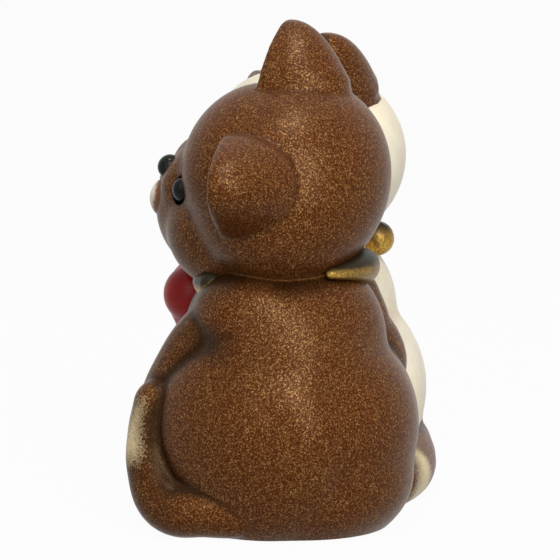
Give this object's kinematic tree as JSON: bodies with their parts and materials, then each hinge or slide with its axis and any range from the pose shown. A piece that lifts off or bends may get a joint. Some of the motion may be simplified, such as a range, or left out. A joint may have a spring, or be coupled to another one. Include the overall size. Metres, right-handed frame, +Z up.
{
  "type": "cat figurine pair",
  "caption": "Pair of seated ceramic cats joined side by side with a heart between them, one speckled brown and one ivory with brown ears and tail.",
  "frame": {"origin": "on the ground, at the middle of the overall box seen from above", "axes": "+X from the cream cat towards the brown cat, +Y from the faces towards the backs, +Z up"},
  "size_m": [0.093, 0.0532, 0.0891],
  "materials": {
    "brown_engobe": "satin, speckled with fine golden flecks",
    "ivory_glaze": "satin",
    "dark_gloss_glaze": "gloss",
    "gold_lustre": "metallic lustre",
    "red_glaze": "satin"
  },
  "bodies": {
    "root": {"brown_body": "brown_engobe", "brown_head": "brown_engobe", "brown_ear_left": "brown_engobe", "brown_ear_right": "brown_engobe", "brown_muzzle": "ivory_glaze", "brown_nose": "dark_gloss_glaze", "brown_eye_left": "dark_gloss_glaze", "brown_eye_right": "dark_gloss_glaze", "brown_collar_front": "gold_lustre", "brown_collar_back": "gold_lustre", "brown_foreleg_left": "brown_engobe", "brown_foreleg_right": "brown_engobe", "brown_hind_foot_left": "brown_engobe", "brown_hind_foot_right": "brown_engobe", "brown_tail": "brown_engobe", "cream_body": "ivory_glaze", "cream_head": "ivory_glaze", "cream_ear_left": "brown_engobe", "cream_ear_right": "brown_engobe", "cream_muzzle": "ivory_glaze", "cream_nose": "dark_gloss_glaze", "cream_eye_left": "dark_gloss_glaze", "cream_eye_right": "dark_gloss_glaze", "cream_collar_front": "gold_lustre", "cream_collar_back": "gold_lustre", "cream_foreleg_left": "ivory_glaze", "cream_foreleg_right": "ivory_glaze", "cream_hind_foot_left": "ivory_glaze", "cream_hind_foot_right": "ivory_glaze", "cream_tail": "brown_engobe", "heart": "red_glaze"}
  },
  "joints": []
}
